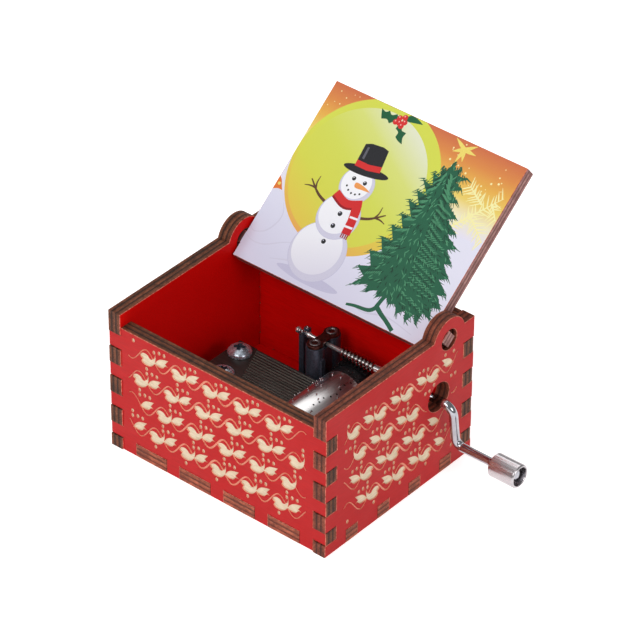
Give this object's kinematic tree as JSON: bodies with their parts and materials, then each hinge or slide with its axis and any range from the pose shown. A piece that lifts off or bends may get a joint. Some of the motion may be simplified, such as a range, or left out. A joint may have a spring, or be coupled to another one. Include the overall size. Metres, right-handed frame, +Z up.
{
  "type": "hand crank music box",
  "caption": "Small finger-jointed plywood music box with an open peg-hinged picture lid and a hand cranked pinned-drum and comb movement inside.",
  "frame": {"origin": "centre of the case's underside, on the surface it stands on", "axes": "+X along the long front towards the crank, -Y towards the front, +Y towards the lid's hinge, +Z up"},
  "size_m": [0.0863, 0.077, 0.0642],
  "materials": {
    "red_plywood": "red painted faces, dark laser-cut edges",
    "bottom_plywood": "red painted faces, dark laser-cut edges",
    "printed_lid": "printed winter scene on the inner face, satin",
    "dark_casting": "blue-black satin casting",
    "zinc_screw": "plain zinc",
    "spring_steel": "blued spring steel",
    "bright_screw": "polished",
    "satin_steel": "satin",
    "black_plastic": "moulded",
    "bright_chrome": "polished wire and turned knob",
    "dark_strap": "dark brown plated"
  },
  "bodies": {
    "case": {"front_panel": "red_plywood", "back_panel": "red_plywood", "left_panel": "red_plywood", "right_panel": "red_plywood", "bottom_panel": "bottom_plywood", "movement_bedplate": "dark_casting", "mounting_screw_1": "zinc_screw", "mounting_screw_2": "zinc_screw", "mounting_screw_3": "zinc_screw", "comb": "spring_steel", "comb_screw_rear": "bright_screw", "comb_screw_front": "bright_screw", "worm_strap": "dark_strap", "strap_rivet_front": "zinc_screw", "strap_rivet_rear": "zinc_screw"},
    "lid": {"lid_panel": "printed_lid"},
    "crank": {"crank_wire": "bright_chrome"},
    "knob": {"crank_knob": "bright_chrome"},
    "drum": {"drum": "satin_steel", "drum_arbor": "satin_steel", "drum_end_cap": "black_plastic", "drum_gear": "black_plastic"}
  },
  "joints": [
    {"name": "lid_hinge", "type": "hinge", "parent": "case", "child": "lid", "pos_m": [0, 0.01685, 0.03635], "axis": [1, 0, 0], "range_deg": [0, 141.4]},
    {"name": "crank_spin", "type": "hinge", "parent": "case", "child": "crank", "pos_m": [0, 0.01375, 0.02115], "axis": [1, 0, 0], "continuous": true},
    {"name": "knob_spin", "type": "hinge", "parent": "crank", "child": "knob", "pos_m": [0.05, 0.01527, 0.00985], "axis": [1, 0, 0], "continuous": true},
    {"name": "drum_spin", "type": "hinge", "parent": "case", "child": "drum", "pos_m": [0.008, 0, 0.01305], "axis": [0, 1, 0], "continuous": true}
  ],
  "couplings": [
    {"joint": "drum_spin", "follows": "crank_spin", "ratio": -0.025}
  ]
}
